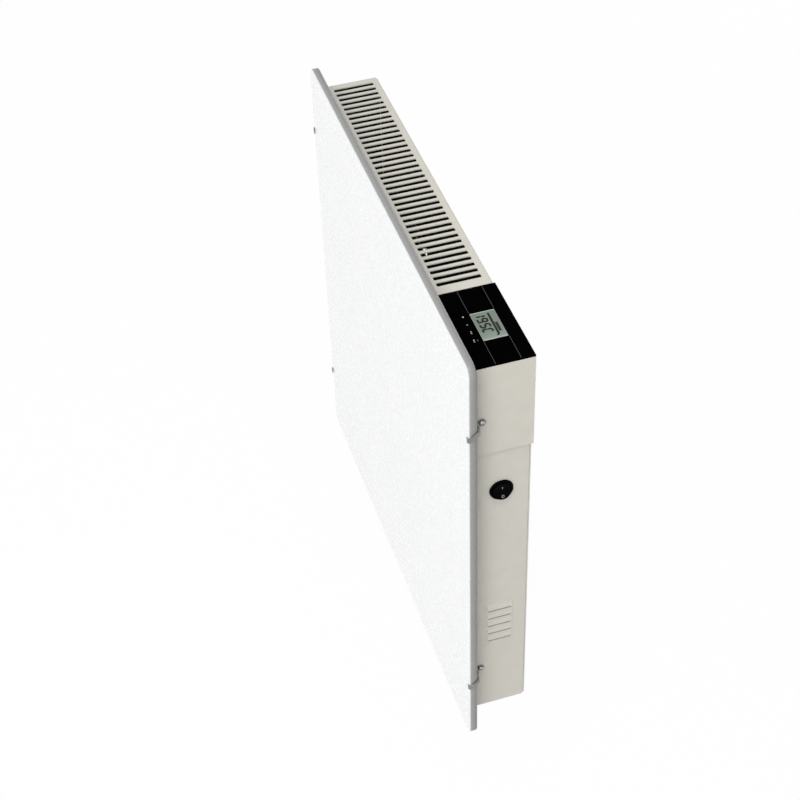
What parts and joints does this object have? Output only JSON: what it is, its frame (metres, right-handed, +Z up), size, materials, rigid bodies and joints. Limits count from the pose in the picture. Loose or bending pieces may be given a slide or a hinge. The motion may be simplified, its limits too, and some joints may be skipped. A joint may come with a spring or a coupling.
{
  "type": "wall panel convector heater",
  "caption": "Flat wall heater: square pale front plate on a shallow sheet casing with a slotted warm-air grille, a touch display panel, side louvres, a round rocker switch and spring-steel plate clips.",
  "frame": {"origin": "on the wall plane, at the middle of the wall bracket's rear face, behind the centre of the front plate", "axes": "+X to the right seen from the room, +Y into the wall, +Z up; the front plate faces -Y"},
  "size_m": [0.503, 0.0801, 0.5],
  "materials": {
    "plate_white": "smooth satin white",
    "casing_beige": "fine-textured powder coat",
    "black_glass": "high gloss",
    "display_green": "clear display face",
    "black_plastic": "satin",
    "bright_steel": "bright spring strip and screw heads",
    "zinc_steel": "zinc plated",
    "aluminium_sheet": "mill finish",
    "silicone_mat": "matt",
    "soft_grey": "matt",
    "wool_board": "pressed mineral fibre board",
    "white_ceramic": "unglazed steatite",
    "nylon_white": "moulded",
    "board_green": "solder-masked board",
    "relay_blue": "moulded",
    "supply_yellow": "moulded",
    "brass": "plain",
    "lead_brown": "silicone sleeve",
    "lead_blue": "silicone sleeve"
  },
  "bodies": {
    "heater": {"front_plate": "plate_white", "plate_pad_1": "soft_grey", "plate_pad_2": "soft_grey", "plate_pad_3": "soft_grey", "plate_pad_4": "soft_grey", "heating_mat": "silicone_mat", "insulation_board": "wool_board", "heat_reflector": "aluminium_sheet", "casing_shell": "casing_beige", "rear_panel": "casing_beige", "rear_screw_1": "zinc_steel", "rear_screw_2": "zinc_steel", "rear_screw_3": "zinc_steel", "rear_screw_4": "zinc_steel", "cap_screw_1": "zinc_steel", "cap_screw_2": "zinc_steel", "partition_wall": "zinc_steel", "control_cap": "casing_beige", "control_glass": "black_glass", "lcd_module": "display_green", "touch_strip": "brass", "display_frame": "black_plastic", "display_board": "board_green", "power_board_tray": "nylon_white", "power_board": "board_green", "relay": "relay_blue", "supply_module": "supply_yellow", "output_terminals": "nylon_white", "mains_terminal_block": "nylon_white", "cable_gland": "black_plastic", "gland_nut": "black_plastic", "rocker_housing": "black_plastic", "switch_tab_1": "brass", "switch_tab_2": "brass", "sensor_holder": "black_plastic", "room_sensor": "black_plastic", "convector_fins": "aluminium_sheet", "heating_rod": "bright_steel", "element_bracket_left": "zinc_steel", "element_bracket_right": "zinc_steel", "element_bush_left": "white_ceramic", "element_bush_right": "white_ceramic", "thermal_cutout": "black_plastic", "plate_clip_1": "bright_steel", "plate_clip_2": "bright_steel", "plate_clip_3": "bright_steel", "plate_clip_4": "bright_steel", "clip_screw_1": "bright_steel", "clip_screw_2": "bright_steel", "clip_screw_3": "bright_steel", "clip_screw_4": "bright_steel", "wall_bracket": "zinc_steel", "lock_screw": "zinc_steel", "wall_spacer_left": "soft_grey", "wall_spacer_right": "soft_grey", "lead_supply": "lead_brown", "lead_switched": "lead_brown", "lead_neutral": "lead_blue"},
    "rocker": {"rocker": "black_plastic"}
  },
  "joints": [
    {"name": "rocker_tilt", "type": "hinge", "parent": "heater", "child": "rocker", "pos_m": [0.2274, -0.041, 0.079], "axis": [0, 1, 0], "range_deg": [0, 18]}
  ]
}
